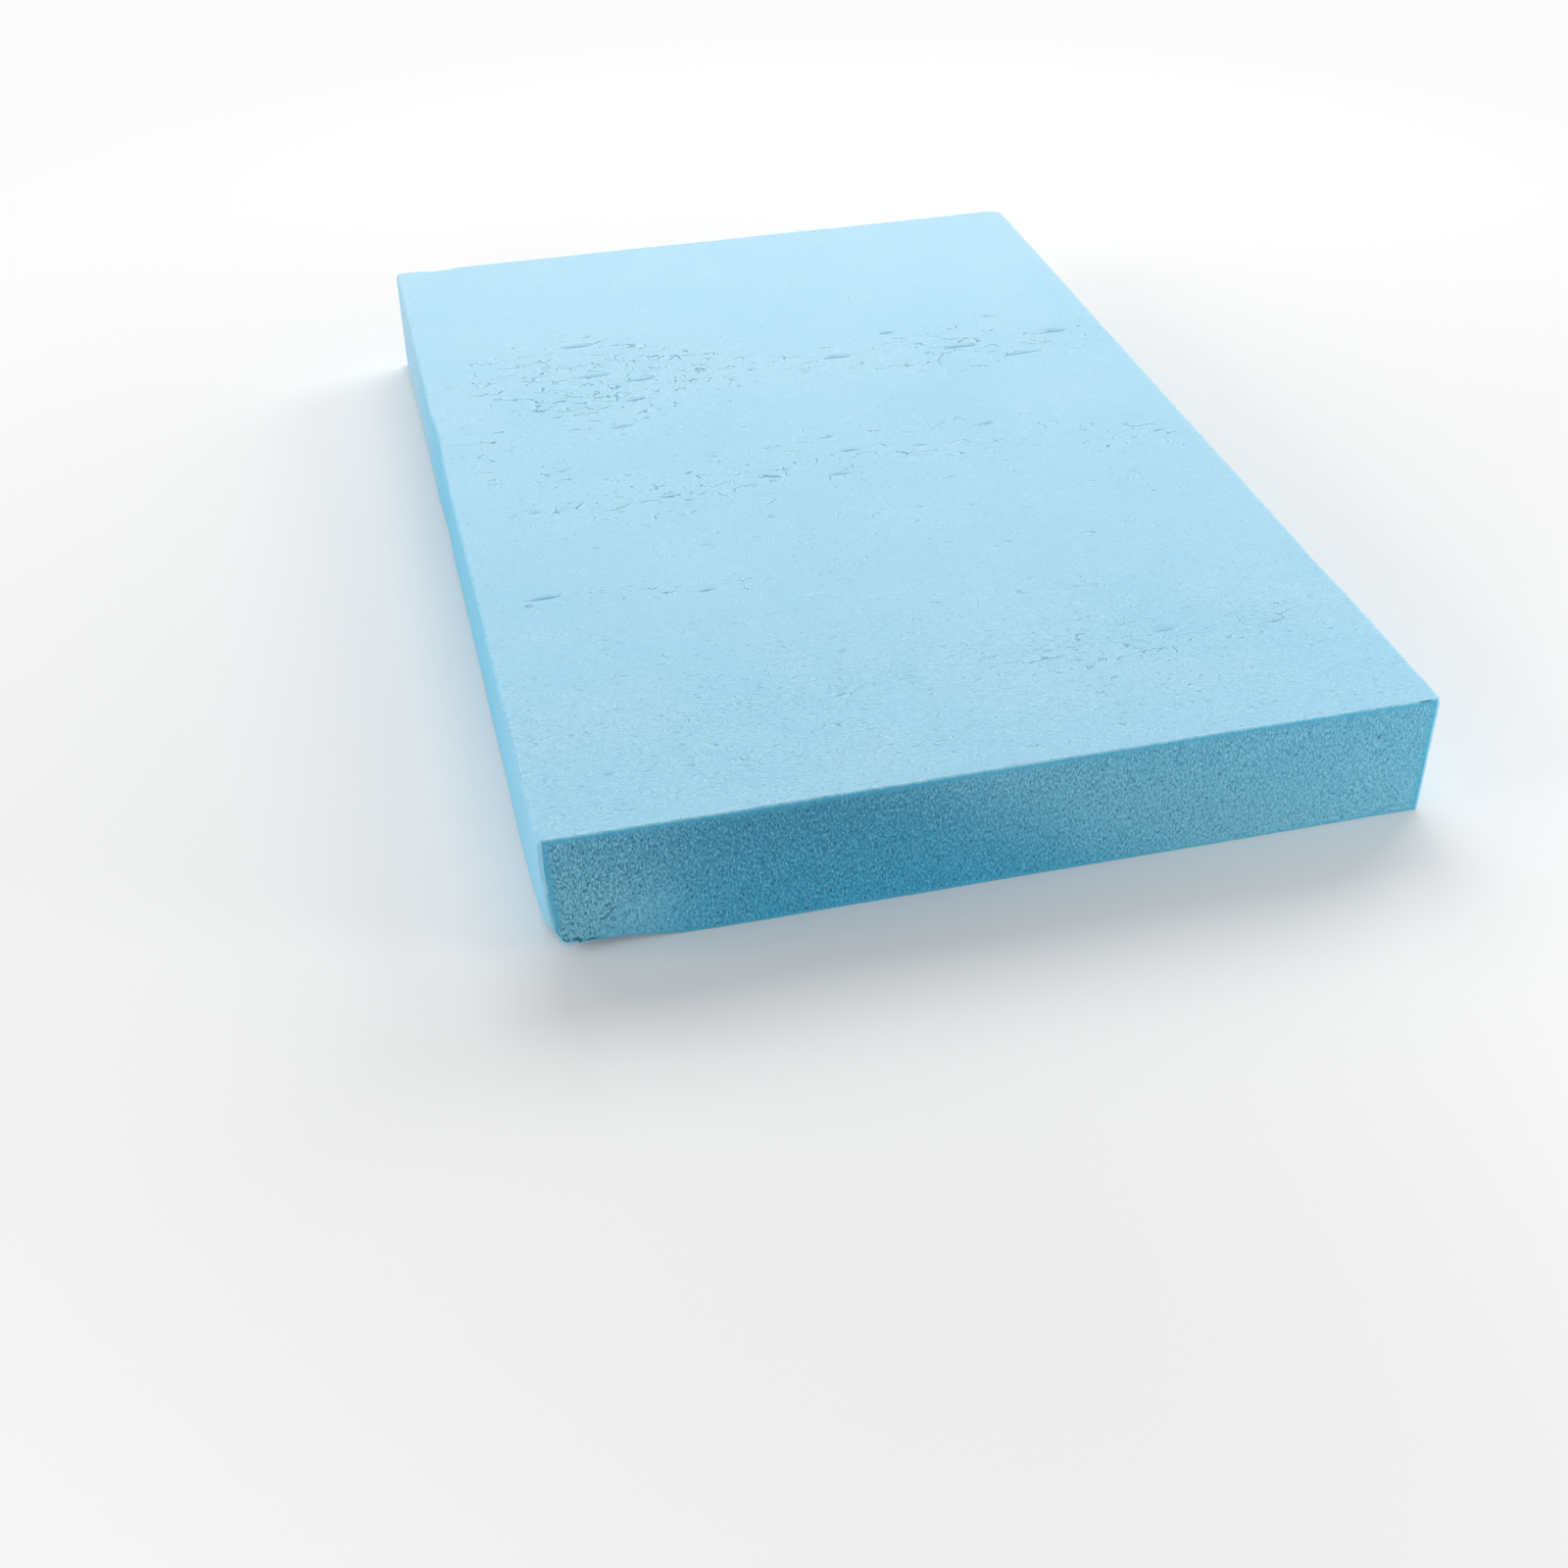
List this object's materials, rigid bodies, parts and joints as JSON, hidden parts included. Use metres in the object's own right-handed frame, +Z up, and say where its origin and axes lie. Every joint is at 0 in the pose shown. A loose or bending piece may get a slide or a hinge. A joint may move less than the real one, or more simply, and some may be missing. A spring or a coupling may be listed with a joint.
{
  "type": "foam block",
  "caption": "Flat rectangular slab of pale blue extruded polystyrene foam, with split skin on its faces, open-celled sawn ends and a crushed lower corner.",
  "frame": {"origin": "middle of the flat underside, where the slab rests", "axes": "+X across the slab to its right side, +Y along its length towards the end with the nicked edge, +Z up through its thickness"},
  "size_m": [0.2, 0.3, 0.0305],
  "materials": {
    "foam": "matt extruded polystyrene: a soft, faintly scaly skin on the faces and fine open cells on the sawn ends"
  },
  "bodies": {
    "root": {"foam_block": "foam"}
  },
  "joints": []
}
